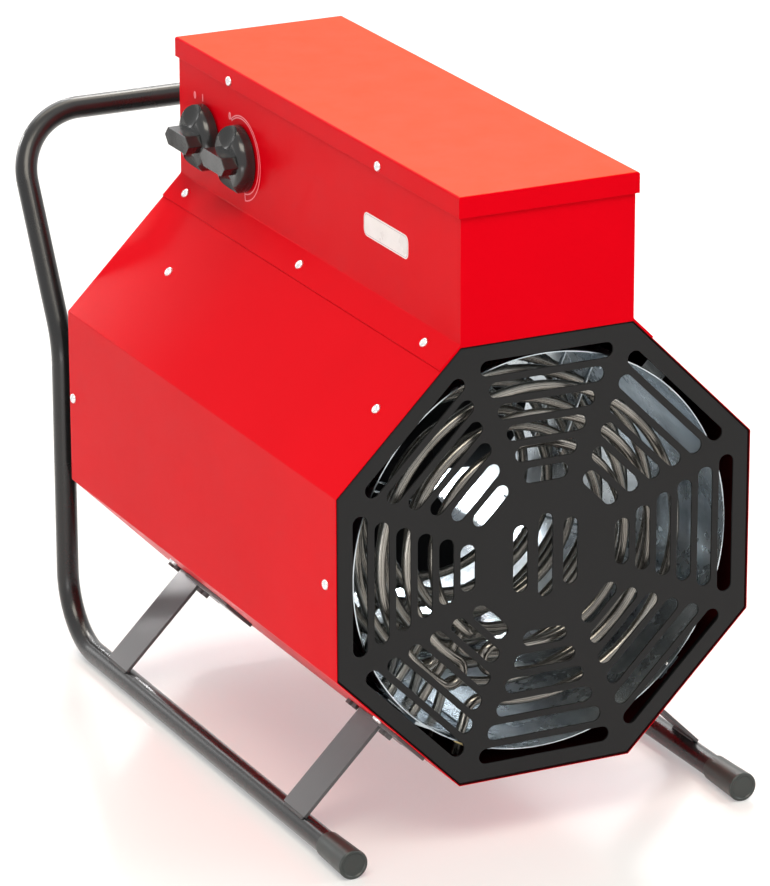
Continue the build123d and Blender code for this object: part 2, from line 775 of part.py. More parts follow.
for name, side in {"left": -1, "right": 1}.items():
    toe = Vector(side * stand_half_width, front - foot_overhang, skid_height(-foot_overhang))
    along = stand_points(side)[1] - stand_points(side)[0]
    toe_plane = Plane(origin=toe, x_dir=(1, 0, 0), z_dir=along)
    with BuildPart() as foot_cap:
        with BuildSketch(toe_plane):
            RegularPolygon(foot_r, 2 * tube_sides)
        extrude(amount=foot_cap_length)
        back_end = foot_cap.faces().sort_by(Axis.Y)[-1]
        chamfer(back_end.edges(), foot_taper, foot_cap_length - foot_edge, reference=back_end)
        with BuildSketch(toe_plane.offset(foot_wall)):
            RegularPolygon(tube_r, tube_sides)
        extrude(amount=foot_cap_length, mode=Mode.SUBTRACT)
    save(foot_cap, f"foot_cap_{name}")

# Struts: flat bars from the lower slope panels out to the skids, where each lies against
# the top of the tube and is welded. The upper end is turned in along the panel, with a
# plate running forwards from it. Two nuts hold the plate, and two sit on the panel behind.
strut_depths = {"front": 91.0, "rear": 459.0}
strut_width = 40.0
strut_sheet = 3.0
strut_lift = 11.5  # the bar's upper face above the tube's centre line
strut_end = 4.5  # the bar stops short of the tube's crown
flange_reach = 30.0  # the bar's end is turned in along the panel by this
plate_width = 34.0
plate_ahead = {"front": 56.0, "rear": 84.0}
plate_overlap = 2.0
bolt_spacing = 11.0
bolt_from_bar = 8.0
strut_nut_flats = 6.0
strut_nut_height = 4.0

bolt_places = []
for end, depth in strut_depths.items():
    for name, side in {"left": -1, "right": 1}.items():
        panel = on_panel(315 if side > 0 else 225, depth)
        tube = Vector(side * stand_half_width, front + depth, skid_height(depth))
        tube_y, tube_z = panel.to_local_coords(tube).Y, panel.to_local_coords(tube).Z
        top = tube_y + side * strut_lift
        middle = top - side * strut_sheet / 2
        with BuildPart() as strut:
            with BuildSketch(panel):
                with Locations((0, middle)):
                    Rectangle(strut_width, strut_sheet)
            extrude(amount=tube_z - strut_end)
            with BuildSketch(panel):
                with Locations((0, top - side * flange_reach / 2)):
                    Rectangle(strut_width, flange_reach)
                with Locations((plate_overlap - strut_width / 2, middle)):
                    Rectangle(plate_ahead[end] + plate_overlap, plate_width,
                              align=(Align.MAX, Align.CENTER))
            extrude(amount=strut_sheet)
            with BuildSketch(Plane(origin=tube, x_dir=(1, 0, 0), z_dir=along)):
                RegularPolygon(tube_r, tube_sides)
            extrude(amount=strut_width, both=True, mode=Mode.SUBTRACT)
        save(strut, f"strut_{end}_{name}")
        for beside, seat in ((-1, strut_sheet), (1, 0)):
            for away in (bolt_from_bar, bolt_from_bar + bolt_spacing):
                spot = Vector(beside * (strut_width / 2 + away), middle, seat)
                origin = panel.from_local_coords(spot)
                bolt_places.append(Plane(origin=origin, x_dir=(0, 1, 0), z_dir=panel.z_dir))

with BuildPart() as strut_nuts:
    for place in bolt_places:
        with BuildSketch(place):
            RegularPolygon(strut_nut_flats / 2, 6, major_radius=False)
        extrude(amount=strut_nut_height)
save(strut_nuts, "strut_nuts")

# Screws: pan heads seated on the sheet, one node to each kind of joint
head_r = 4.5
head_height = 2.4
lid_screw_depths = (143.5, 435.0)
flange_screw_depths = (45.0, 280.0, 515.0)
slope_screw_depths = tuple(clip_depths.values())
side_screw_depths = (19.0, 538.0)


def pan_head(place):
    with BuildSketch(place) as head:
        RegularPolygon(head_r, 10)
    extrude(head.sketch, amount=head_height)


with BuildPart() as lid_screws:
    for side in (-1, 1):
        for depth in lid_screw_depths:
            height = box_height + sheet - lid_lip + 4
            pan_head(on_box_side(side, depth, height, out=lid_gap + sheet))
save(lid_screws, "lid_screws")

with BuildPart() as flange_screws:
    for angle, side in ((45, 1), (135, -1)):
        for depth in flange_screw_depths:
            place = on_panel(angle, depth, out=sheet)
            shift = Vector(0, side * (half_side - flange_width / 2), 0)
            origin = place.from_local_coords(shift)
            pan_head(Plane(origin=origin, x_dir=(0, 1, 0), z_dir=place.z_dir))
save(flange_screws, "flange_screws")

with BuildPart() as casing_screws:
    for angle in slope_angles:
        for depth in slope_screw_depths:
            pan_head(on_panel(angle, depth))
    for angle in (0, 180):
        for depth in side_screw_depths:
            pan_head(on_panel(angle, depth))
save(casing_screws, "casing_screws")
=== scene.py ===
import bmesh
import bpy
import json
import math
from mathutils import Matrix, Vector


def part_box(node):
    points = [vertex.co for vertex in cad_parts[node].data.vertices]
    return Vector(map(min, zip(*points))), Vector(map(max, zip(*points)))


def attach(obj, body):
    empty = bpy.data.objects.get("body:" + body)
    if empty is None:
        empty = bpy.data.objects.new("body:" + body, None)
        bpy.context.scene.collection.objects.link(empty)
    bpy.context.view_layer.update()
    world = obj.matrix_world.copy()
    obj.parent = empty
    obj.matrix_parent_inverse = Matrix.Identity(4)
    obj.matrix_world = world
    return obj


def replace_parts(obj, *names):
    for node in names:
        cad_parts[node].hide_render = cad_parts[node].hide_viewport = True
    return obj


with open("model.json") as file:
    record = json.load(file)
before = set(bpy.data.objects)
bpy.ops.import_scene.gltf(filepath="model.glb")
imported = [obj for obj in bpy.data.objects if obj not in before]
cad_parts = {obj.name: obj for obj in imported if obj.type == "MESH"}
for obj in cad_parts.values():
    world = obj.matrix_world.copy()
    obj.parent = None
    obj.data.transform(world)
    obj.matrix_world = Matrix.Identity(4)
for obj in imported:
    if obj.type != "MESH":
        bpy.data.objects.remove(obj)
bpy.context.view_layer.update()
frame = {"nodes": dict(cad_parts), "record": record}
nodes = frame["nodes"]
scene = bpy.context.scene
mm = 0.001
weld = 0.002 * mm  # points of a mesh closer than this are one
octagonHalf = math.radians(22.5)
print("frame loaded:", len(nodes), "nodes")

# places that the pieces share, in the row frame
low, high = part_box("casing_shell")
casing = {"front": low.y, "apothem": high.x, "axis": high.z - high.x, "top": high.z}
casing["halfSide"] = casing["apothem"] * math.tan(octagonHalf)


def atDepth(depth, x=0.0, height=0.0):
    # millimetres behind the casing's front edge, and from its axis
    return Vector((x * mm, casing["front"] + depth * mm, casing["axis"] + height * mm))


# camera, at the photograph's viewing angle
cameraFacts = {
    "azimuth": -25.952, "elevation": 19.434, "roll": -0.203, "distance": 4.2445,
    "target": (-0.154, -0.3395, 0.358), "lens": 216.37, "sensor": 36, "shift": (0.01018, 0.01398),
}


def makeCamera(facts):
    data = bpy.data.cameras.new("photoCamera")
    data.lens = facts["lens"]
    data.sensor_width = facts["sensor"]
    data.shift_x, data.shift_y = facts["shift"]
    camera = bpy.data.objects.new("photoCamera", data)
    scene.collection.objects.link(camera)
    azimuth, elevation = math.radians(facts["azimuth"]), math.radians(facts["elevation"])
    back = Vector((math.sin(azimuth) * math.cos(elevation),
                   -math.cos(azimuth) * math.cos(elevation), math.sin(elevation)))
    camera.location = Vector(facts["target"]) + back * facts["distance"]
    level = (-back).to_track_quat("-Z", "Y").to_matrix()
    roll = Matrix.Rotation(math.radians(facts["roll"]), 3, "Z")
    camera.rotation_euler = (level @ roll).to_euler()
    scene.camera = camera


makeCamera(cameraFacts)
print("camera set")


# shader maths: operators on a Value add the nodes
class Value:
    def __init__(self, tree, socket):
        self.tree, self.socket = tree, socket

    def join(self, operation, other=0.0):
        return addNode(self.tree, "ShaderNodeMath", {"operation": operation}, {0: self, 1: other})

    def __add__(self, other):
        return self.join("ADD", other)

    def __sub__(self, other):
        return self.join("SUBTRACT", other)

    def __mul__(self, other):
        return self.join("MULTIPLY", other)

    def __truediv__(self, other):
        return self.join("DIVIDE", other)

    def __gt__(self, other):
        return self.join("GREATER_THAN", other)

    def __lt__(self, other):
        return self.join("LESS_THAN", other)

    def __abs__(self):
        return self.join("ABSOLUTE")

    def most(self, other):
        return self.join("MAXIMUM", other)


def plug(tree, socket, value):
    if isinstance(value, Value):
        tree.links.new(value.socket, socket)
    elif isinstance(value, (tuple, list)) and len(value) == 3 and socket.type == "RGBA":
        socket.default_value = (*value, 1)
    else:
        socket.default_value = value


def addNode(tree, kind, settings, sockets, output=0):
    node = tree.nodes.new(kind)
    for name, value in settings.items():
        setattr(node, name, value)
    for name, value in sockets.items():
        plug(tree, node.inputs[name], value)
    return Value(tree, node.outputs[output])


class Finish:
    # one material round a Principled shader
    def __init__(self, name, constants):
        self.material = bpy.data.materials.new(name)
        self.material.use_nodes = True
        self.tree = self.material.node_tree
        self.shader = self.tree.nodes["Principled BSDF"]
        self.feed(constants)
        self.place = self.add("ShaderNodeTexCoord", output="Object")

    def add(self, kind, settings=None, sockets=None, output=0):
        return addNode(self.tree, kind, settings or {}, sockets or {}, output)

    def feed(self, sockets):
        for name, value in sockets.items():
            plug(self.tree, self.shader.inputs[name], value)

    def stretched(self, scale):
        settings = {"operation": "MULTIPLY"}
        return self.add("ShaderNodeVectorMath", settings, {0: self.place, 1: scale})

    def part(self, vector, axis):
        return self.add("ShaderNodeSeparateXYZ", {}, {0: vector}, axis)

    def noise(self, size, detail, roughness=0.5, place=None):
        sockets = {"Vector": place or self.place, "Scale": 1 / size, "Detail": detail,
                   "Roughness": roughness}
        return self.add("ShaderNodeTexNoise", {}, sockets)

    def cells(self, size):
        # a random colour for each crystal
        sockets = {"Vector": self.place, "Scale": 1 / size}
        return self.add("ShaderNodeTexVoronoi", {"feature": "F1"}, sockets, "Color")

    def range(self, value, low, high, newLow=0.0, newHigh=1.0):
        sockets = {0: value, 1: low, 2: high, 3: newLow, 4: newHigh}
        return self.add("ShaderNodeMapRange", {}, sockets)

    def mix(self, factor, first, second):
        return self.add("ShaderNodeMix", {"data_type": "RGBA"}, {0: factor, 6: first, 7: second}, 2)

    def bump(self, height, distance, strength):
        sockets = {"Height": height, "Distance": distance, "Strength": strength}
        self.feed({"Normal": self.add("ShaderNodeBump", {}, sockets)})


redCoat = {
    # the last colour on the next line is painted light: the lighter orange red of level tops under the
    # light from above
    "thin": (0.64, 0.0, 0.006), "thick": (0.74, 0.0, 0.008), "faded": (0.76, 0.05, 0.0),
    # the first colour on the next line is painted shade: near black on the casing's inner faces, where
    # shade falls behind the grille
    "inside": (0.05, 0.003, 0.004), "gloss": 0.03, "tint": (1.0, 0.5, 0.4), "roughness": (0.27, 0.36),
    "peel": 1.6, "drift": 160.0, "smudge": 35.0, "insideFrom": 0.6, "level": 0.95,
}


def redPaint(facts):
    finish = Finish("redPowderCoat", {
        "Specular IOR Level": facts["gloss"], "Specular Tint": facts["tint"],
    })
    peel = finish.noise(facts["peel"] * mm, 2, 0.4)
    drift = finish.noise(facts["drift"] * mm, 2)
    smudge = finish.noise(facts["smudge"] * mm, 4, 0.65)
    aside = abs(finish.part(finish.place, 0))
    height = abs(finish.part(finish.place, 2) - casing["axis"])
    # the apothem of the octagon through this point
    reach = aside.most(height).most((aside + height) / math.sqrt(2))
    # painted shade: the red inside the casing's sheet is painted near black where shade falls
    inside = reach < casing["apothem"] - facts["insideFrom"] * mm
    coat = finish.mix(drift, facts["thin"], facts["thick"])
    upwards = finish.part(finish.add("ShaderNodeTexCoord", output="Normal"), 2)
    coat = finish.mix(upwards > facts["level"], coat, facts["faded"])  # painted light: level tops get a lighter orange red, as where the light from above falls
    finish.feed({
        "Base Color": finish.mix(inside, coat, facts["inside"]),
        "Roughness": finish.range(smudge, 0.3, 0.75, *facts["roughness"]) + peel * 0.03,
    })
    finish.bump(peel, 0.05 * mm, 0.22)
    return finish.material


def blackPaint(name, roughness=0.42, level=0.008, gloss=0.22, relief=0.3, coat=0.0):
    finish = Finish(name, {"Specular IOR Level": gloss, "Coat Weight": coat, "Coat Roughness": 0.12})
    grain = finish.noise(0.9 * mm, 3, 0.6)
    drift = finish.noise(60 * mm, 3)
    dark, pale = (level, level, level * 1.05), (level * 1.5, level * 1.5, level * 1.6)
    finish.feed({
        "Base Color": finish.mix(drift, dark, pale),
        "Roughness": finish.range(drift, 0.3, 0.7, roughness - 0.05, roughness + 0.05) + grain * 0.05,
    })
    finish.bump(grain, 0.05 * mm, relief)
    return finish.material


zincCoat = {
    "dull": (0.37, 0.43, 0.48), "bright": (0.76, 0.82, 0.86), "roughness": 0.19,
    "warp": 70.0, "wave": 22.0, "crystal": 6.0, "relief": 0.9,
}


def galvanised(facts):
    finish = Finish("galvanisedSheet", {"Metallic": 1.0})
    warp = finish.noise(facts["warp"] * mm, 2)
    wavy = finish.noise(facts["wave"] * mm, 2, 0.5, finish.stretched((1, 0.25, 1)))
    crystal = finish.add("ShaderNodeSeparateColor", {}, {0: finish.cells(facts["crystal"] * mm)})
    tone = finish.range(crystal * 0.12 + wavy * 0.95, 0.3, 0.8)
    finish.feed({
        "Base Color": finish.mix(tone, facts["dull"], facts["bright"]),
        "Roughness": crystal * 0.02 + warp * 0.14 + facts["roughness"],
    })
    finish.bump(warp + wavy * 0.3 + crystal * 0.003, facts["relief"] * mm, 0.3)
    return finish.material


sheath = {
    "scaled": (0.24, 0.225, 0.205), "bare": (0.44, 0.42, 0.385), "roughness": (0.21, 0.25),
    "heat": 55.0, "grain": 1.6, "relief": 0.006,
}


def elementSteel(facts):
    finish = Finish("elementSheath", {"Metallic": 0.95})
    heat = finish.range(finish.noise(facts["heat"] * mm, 2), 0.35, 0.65)
    grain = finish.noise(facts["grain"] * mm, 3, 0.6)
    finish.feed({
        "Base Color": finish.mix(heat, facts["scaled"], facts["bare"]),
        "Roughness": finish.range(grain, 0.2, 0.8, *facts["roughness"]),
    })
    finish.bump(grain, facts["relief"] * mm, 0.2)
    return finish.material


def brightMetal(name, colour, roughness):
    finish = Finish(name, {"Metallic": 1.0})
    turning = finish.noise(0.5 * mm, 2, 0.5, finish.stretched((1, 1, 0.15)))
    drift = finish.noise(3 * mm, 2)
    finish.feed({
        "Base Color": finish.mix(drift * 0.5, colour, tuple(0.72 * c for c in colour)),
        "Roughness": finish.range(turning, 0.3, 0.7, roughness - 0.06, roughness + 0.08),
    })
    finish.bump(turning, 0.02 * mm, 0.3)
    return finish.material


def plastic(name, colour, roughness):
    finish = Finish(name, {"Specular IOR Level": 0.5})
    grain = finish.noise(0.7 * mm, 2, 0.5)
    drift = finish.noise(18 * mm, 3)
    finish.feed({
        "Base Color": finish.mix(drift, colour, tuple(1.35 * c for c in colour)),
        "Roughness": finish.range(drift, 0.3, 0.7, roughness - 0.05, roughness + 0.06),
    })
    finish.bump(grain, 0.03 * mm, 0.35)
    return finish.material


finishes = {
    "red_paint": redPaint(redCoat),
    "black_paint": blackPaint("blackPowderCoat"),
    "tube_paint": blackPaint("tubeEnamel", 0.25, gloss=0.42, relief=0.02, coat=0.15),
    "strut_steel": blackPaint("strutPaint", 0.3, level=0.06, gloss=0.7, relief=0.15),
    "galvanised": galvanised(zincCoat),
    "element_steel": elementSteel(sheath),
    "zinc_screws": brightMetal("zincPlate", (0.82, 0.82, 0.83), 0.26),
    "brass": brightMetal("brassNuts", (0.80, 0.62, 0.30), 0.3),
    "fan_black": blackPaint("fanEnamel", 0.32, level=0.012),
    "motor_grey": blackPaint("motorEnamel", 0.4, level=0.09),
    "shaft_steel": brightMetal("turnedSteel", (0.55, 0.55, 0.57), 0.3),
    "knob_black": plastic("knobPlastic", (0.016, 0.017, 0.018), 0.19),
    "cap_grey": plastic("footCapPlastic", (0.022, 0.027, 0.025), 0.38),
    "gland_black": plastic("glandPlastic", (0.018, 0.018, 0.018), 0.42),
    "device_grey": plastic("deviceHousing", (0.30, 0.31, 0.32), 0.45),
    "dark_nuts": brightMetal("darkNuts", (0.16, 0.15, 0.15), 0.38),
    "print_pale": plastic("palePrint", (0.80, 0.22, 0.26), 0.4),
    "label_white": plastic("labelFoil", (0.70, 0.69, 0.69), 0.3),
    "label_line": plastic("labelLine", (0.35, 0.33, 0.34), 0.4),
}


def dress(piece, finish):
    piece.data.materials.clear()
    piece.data.materials.append(finishes[finish])


for subpart in frame["record"]["subparts"]:
    dress(nodes[subpart["node"]], subpart["material_slot"])


# places on the heater's faces: x rearwards and z out of the face
def frameAt(origin, normal):
    along = Vector((0, 1, 0))
    place = Matrix((along, normal.cross(along), normal)).transposed().to_4x4()
    place.translation = origin
    return place


def onPanel(angle, depth, aside=0.0, out=0.0):
    normal = Vector((math.cos(math.radians(angle)), 0, math.sin(math.radians(angle))))
    place = frameAt(atDepth(depth) + normal * (casing["apothem"] + out * mm), normal)
    place.translation += place.col[1].xyz * aside * mm
    return place


def onBoxSide(side, depth, height, out=0.0):
    origin = Vector((side * (casing["halfSide"] + out * mm), casing["front"] + depth * mm,
                     casing["top"] + height * mm))
    return frameAt(origin, Vector((side, 0, 0)))


def acrossAxis(radius, angle, depth):
    # a point round the casing's axis, as seen from the front
    turn = math.radians(angle)
    return atDepth(depth, radius * math.cos(turn), radius * math.sin(turn))


# what turns a mesh into a piece: clean, shade, dress, ride
def settle(mesh, name, body, slotName, crease=32, finish=None):
    work = bmesh.new()
    work.from_mesh(mesh)
    bmesh.ops.remove_doubles(work, verts=work.verts, dist=weld)
    bmesh.ops.dissolve_degenerate(work, edges=work.edges, dist=weld)
    bmesh.ops.recalc_face_normals(work, faces=work.faces)
    work.to_mesh(mesh)
    work.free()
    mesh.polygons.foreach_set("use_smooth", [True] * len(mesh.polygons))
    mesh.set_sharp_from_angle(angle=math.radians(crease))
    piece = bpy.data.objects.new(name, mesh)
    scene.collection.objects.link(piece)
    even = piece.modifiers.new("evenNormals", "WEIGHTED_NORMAL")  # keeps the large faces flat
    even.keep_sharp, even.weight = True, 100
    dress(piece, finish or slotName)
    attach(piece, body)
    return piece


def fromPoints(name, points, faces, body, slotName, **more):
    mesh = bpy.data.meshes.new(name)
    mesh.from_pydata([tuple(point) for point in points], [], faces)
    return settle(mesh, name, body, slotName, **more)


def fromCurve(name, curve, body, slotName, place=None, **more):
    holder = bpy.data.objects.new(name + "Line", curve)
    mesh = bpy.data.meshes.new_from_object(holder)
    bpy.data.objects.remove(holder)
    bpy.data.curves.remove(curve)
    if place:
        mesh.transform(place)
    mesh.materials.clear()
    return settle(mesh, name, body, slotName, **more)


def addSpline(curve, points, closed=False, radii=None):
    spline = curve.splines.new("POLY")
    spline.points.add(len(points) - 1)
    for index, point in enumerate(points):
        spline.points[index].co = (*Vector(point).to_3d(), 1)
        spline.points[index].radius = radii[index] if radii else 1.0
    spline.use_cyclic_u = closed


def rod(name, lines, radius, body, slotName, roundness, radii=None, **more):
    curve = bpy.data.curves.new(name, "CURVE")
    curve.dimensions = "3D"
    curve.bevel_depth = radius
    curve.bevel_resolution = roundness
    curve.use_fill_caps = True
    for line in lines:
        addSpline(curve, line, radii=radii)
    return fromCurve(name, curve, body, slotName, **more)


def roundedPath(corners, radii, step=3.0):
    # straight runs joined by tangent arcs
    path = [corners[0]]
    for before, corner, after, radius in zip(corners, corners[1:], corners[2:], radii):
        incoming, outgoing = (corner - before).normalized(), (after - corner).normalized()
        turn = incoming.angle(outgoing)
        inwards = (outgoing - incoming * incoming.dot(outgoing)).normalized()
        centre = corner - incoming * radius * math.tan(turn / 2) + inwards * radius
        count = max(2, round(math.degrees(turn) / step))
        for index in range(count + 1):
            angle = turn * index / count
            path.append(centre + (incoming * math.sin(angle) - inwards * math.cos(angle)) * radius)
    return path + [corners[-1]]


def lathe(profile, centre, axis, sides):
    # rings of a profile of (along, radius) pairs turned about an axis
    axis = axis.normalized()
    across = axis.orthogonal().normalized()
    other = axis.cross(across)
    points = []
    for along, radius in profile:
        for index in range(sides):
            turn = math.tau * index / sides
            points.append(centre + axis * along
                          + (across * math.cos(turn) + other * math.sin(turn)) * radius)
    return points, ringFaces(len(profile), sides)


def ringFaces(rings, sides, closed=False):
    faces = []
    for ring in range(rings if closed else rings - 1):
        near, far = ring * sides, (ring + 1) % rings * sides
        for index in range(sides):
            after = (index + 1) % sides
            faces.append((near + index, near + after, far + after, far + index))
    return faces


def turnSteps(start, end, count):
    # an arc's angles in radians, from its ends in degrees
    return [math.radians(start + (end - start) * index / count) for index in range(count + 1)]


def arcPairs(centre, radius, start, end, count):
    # (along, radius) pairs of a profile's arc, angles from the axis
    return [(centre[0] + radius * math.cos(turn), centre[1] + radius * math.sin(turn))
            for turn in turnSteps(start, end, count)]


def joined(parts):
    points, faces = [], []
    for morePoints, moreFaces in parts:
        faces += [tuple(index + len(points) for index in face) for face in moreFaces]
        points += morePoints
    return points, faces


# front grille: one pressed plate, its slots rounded at the edge, its rim folded back
grille = {
    "depth": 0.5, "thickness": 2.0, "return": 22.0, "fold": 2.2, "slotEdge": 0.4,
    "rows": 6, "slotWidth": 13.4, "pitch": 19.4, "firstSlot": 71.0, "spoke": 18.4,
    "hubPitch": 23.0, "hubLength": 72.0, "hubStep": 14.0, "apothem": 188.8, "corner": 0.6,
}


def slotOutline(centre, length, width, angle, steps=14):
    # a round-ended slot, sized in millimetres, its points in metres
    middle, points = length / 2 - width / 2, []
    for side in (1, -1):
        for index in range(steps + 1):
            turn = math.pi * (index / steps - 0.5) + (0 if side > 0 else math.pi)
            points.append(Vector((side * middle + width / 2 * math.cos(turn),
                                  width / 2 * math.sin(turn))))
    turn = Matrix.Rotation(math.radians(angle), 2)
    return [(turn @ point + Vector(centre)) * mm for point in points]


def octagonRing(apothem, corner, steps=5):
    # an octagon with round corners, in millimetres
    ring = []
    reach = (apothem - corner) / math.cos(octagonHalf)
    for index in range(8):
        middle = 22.5 + 45 * index
        centre = Vector((math.cos(math.radians(middle)), math.sin(math.radians(middle)))) * reach
        for turn in turnSteps(middle - 22.5, middle + 22.5, steps):
            ring.append(centre + Vector((math.cos(turn), math.sin(turn))) * corner)
    return ring


def makeGrille(facts):
    curve = bpy.data.curves.new("grillePlate", "CURVE")
    curve.dimensions = "2D"
    curve.fill_mode = "BOTH"
    edge = facts["slotEdge"]
    curve.bevel_depth = edge * mm
    curve.bevel_resolution = 2
    curve.offset = -edge * mm
    curve.extrude = (facts["thickness"] / 2 - edge) * mm
    rim = octagonRing(facts["apothem"] - facts["fold"] + edge, facts["corner"])
    addSpline(curve, [point * mm for point in rim], closed=True)
    for row in range(facts["rows"]):
        apothem = facts["firstSlot"] + row * facts["pitch"]
        length = 2 * apothem * math.tan(octagonHalf) - facts["spoke"]
        for sector in range(8):
            turn = math.radians(45 * sector)
            centre = (apothem * math.cos(turn), apothem * math.sin(turn))
            outline = slotOutline(centre, length, facts["slotWidth"], 45 * sector + 90)
            addSpline(curve, outline, closed=True)
    for place in (-1, 0, 1):
        length = facts["hubLength"] - abs(place) * facts["hubStep"]
        outline = slotOutline((place * facts["hubPitch"], 0), length, facts["slotWidth"], 90)
        addSpline(curve, outline, closed=True)
    stand = Matrix(((1, 0, 0), (0, 0, 1), (0, -1, 0))).transposed().to_4x4()
    stand.translation = atDepth(facts["depth"] + facts["thickness"] / 2)
    plate = fromCurve("grillePlate", curve, "root", "black_paint", place=stand)
    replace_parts(plate, "front_grille")

    fold, thickness = facts["fold"], facts["thickness"]
    face, end = facts["depth"], facts["depth"] + facts["return"]
    profile = [(face + fold - fold * math.cos(turn), fold - fold * math.sin(turn))
               for turn in turnSteps(0, 90, 6)]
    profile += [(end, 0.0), (end, thickness), (face + fold, thickness), (face + thickness, fold)]
    points = []
    for depth, inset in profile:
        ring = octagonRing(facts["apothem"] - inset, max(fold - inset, 0.3))
        points += [atDepth(depth, point.x, point.y) for point in ring]
    faces = ringFaces(len(profile), len(points) // len(profile), closed=True)
    rimPiece = fromPoints("grilleRim", points, faces, "root", "black_paint")
    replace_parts(rimPiece, "front_grille")


makeGrille(grille)
print("grille pressed")

# stand: one bent tube, with a cap on each foot
stand = {
    "tube": 10.0, "halfWidth": 182.0, "foot": 12.8, "corner": 60.0, "kink": 80.0,
    "handle": 63.0, "upright": 581.0, "kinkHeight": 286.0, "lean": 29.0, "handleDepth": 683.0,
    "toe": -14.0, "capWall": 5.0, "capLength": 48.0, "capTaper": 1.3, "capEdge": 1.6,
    "capDish": 0.9, "capRim": (1.6, 0.7), "capLip": 0.6, "capMouth": (0.2, 0.15), "capSeat": (3.0, 0.02),
}
stand["fall"] = (stand["foot"] - stand["tube"]) / (stand["upright"] - stand["corner"] - stand["toe"])


def onFloor(depth, side, height):
    # millimetres behind the casing's front edge, and above the floor
    return Vector((side * stand["halfWidth"] * mm, casing["front"] + depth * mm, height * mm))


def skidHeight(depth):
    return stand["foot"] - stand["fall"] * (depth - stand["toe"])


def makeStand(facts):
    rise = (facts["handleDepth"] - facts["upright"]) / math.tan(math.radians(facts["lean"]))
    start = facts["toe"] + facts["capWall"]
    heights = [(start, skidHeight(start)), (facts["upright"], skidHeight(facts["upright"])),
               (facts["upright"], facts["kinkHeight"]),
               (facts["handleDepth"], facts["kinkHeight"] + rise)]
    corners = [onFloor(depth, -1, height) for depth, height in heights]
    corners += [onFloor(depth, 1, height) for depth, height in reversed(heights)]
    bends = [facts["corner"], facts["kink"], facts["handle"]]
    radii = [radius * mm for radius in bends + bends[::-1]]
    tube = rod("standTube", [roundedPath(corners, radii)], facts["tube"] * mm, "root",
               "black_paint", roundness=10, finish="tube_paint")
    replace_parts(tube, "stand_tube")


def makeFootCap(facts, name, side):
    toe = onFloor(facts["toe"], side, skidHeight(facts["toe"]))
    along = onFloor(0, side, skidHeight(0)) - toe
    foot, tube, edge, length = facts["foot"], facts["tube"], facts["capEdge"], facts["capLength"]
    dish, wall, lip = facts["capDish"], facts["capWall"], facts["capLip"]
    mouth = foot - facts["capTaper"]
    inner, outer = (foot - edge - inset for inset in facts["capRim"])
    profile = [(dish, 0.0), (dish, inner), (0.0, outer)]
    profile += arcPairs((edge, foot - edge), edge, 180, 90, 7)
    profile += [(length * 0.5, foot - facts["capTaper"] / 2)]
    profile += arcPairs((length - lip, mouth - lip), lip, 90, 0, 3)
    (mouth, play), (seat, fit) = facts["capMouth"], facts["capSeat"]
    profile += [(length - mouth, tube + play), (wall + seat, tube + fit), (wall, 0.0)]
    points, faces = lathe([(a * mm, r * mm) for a, r in profile], toe, along, 56)
    cap = fromPoints(name, points, faces, "root", "cap_grey")
    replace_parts(cap, "foot_cap_left" if side < 0 else "foot_cap_right")


makeStand(stand)
makeFootCap(stand, "footCapLeft", -1)
makeFootCap(stand, "footCapRight", 1)
print("stand bent")

# heating elements: each one rod, wound into three rings round the axis
element = {
    "rod": 4.5, "rings": (136.0, 112.0, 88.0), "layers": (30.0, 75.0, 120.0, 165.0, 210.0),
    "leads": 243.0, "gap": 9.0, "bend": 12.0, "end": 186.0, "back": 15.0, "elbow": 4.0,
    "ringStep": 3.0, "bendStep": 12.0,
}


def around(radius, angle):
    return Vector((math.cos(math.radians(angle)), math.sin(math.radians(angle)))) * radius


def elementLine(facts):
    near, far = facts["leads"] + facts["gap"], facts["leads"] - facts["gap"] + 360
    bend = facts["bend"]

    def turnAt(centre, first, second, sweep):
        return [centre + first * math.cos(turn) + second * math.sin(turn)
                for turn in turnSteps(0, sweep, round(sweep / facts["bendStep"]))]

    def ring(radius, start, end):
        count = round(abs(end - start) / facts["ringStep"])
        return [around(radius, start + (end - start) * index / count) for index in range(1, count)]

    outer, middle, inner = facts["rings"]
    nearOut, farOut = around(1, near), around(1, far)
    nearRound, farRound = around(bend, near + 90), around(bend, far + 90)
    line = [nearOut * facts["end"] - nearRound]
    line += turnAt(nearOut * (outer + bend), -nearRound, -nearOut * bend, 90)
    line += ring(outer, near, far)
    line += turnAt(farOut * (outer - bend), farOut * bend, farRound, 180)
    line += ring(middle, far, near)
    line += turnAt(nearOut * (middle - bend), nearOut * bend, -nearRound, 180)
    line += ring(inner, near, far) + [around(inner, far)]
    return line


def makeElement(facts, number):
    depth = facts["layers"][number - 1]
    line = [atDepth(depth, point.x, point.y) for point in elementLine(facts)]
    inner, outwards = facts["rings"][-1], facts["leads"] - facts["gap"]
    back, elbow = facts["back"], facts["elbow"]
    bend = [acrossAxis(inner, outwards, depth + reach) for reach in (elbow, back - elbow)]
    lead = [acrossAxis(radius, outwards, depth + back) for radius in (inner + elbow, facts["end"])]
    piece = rod(f"elementRod{number}", [line[:-1] + bend + lead], facts["rod"] * mm, "root",
                "element_steel", roundness=5)
    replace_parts(piece, f"heating_element_{number}")


for number in range(1, len(element["layers"]) + 1):
    makeElement(element, number)
print("elements wound")

# rear guard: upright wires, held by two level ones behind them
guard = {
    "wire": 1.5, "pitch": 15.0, "eachSide": 10, "reach": 171.0, "level": 62.0, "depth": 547.5,
    "behind": 1.6, "fit": 0.985,
}


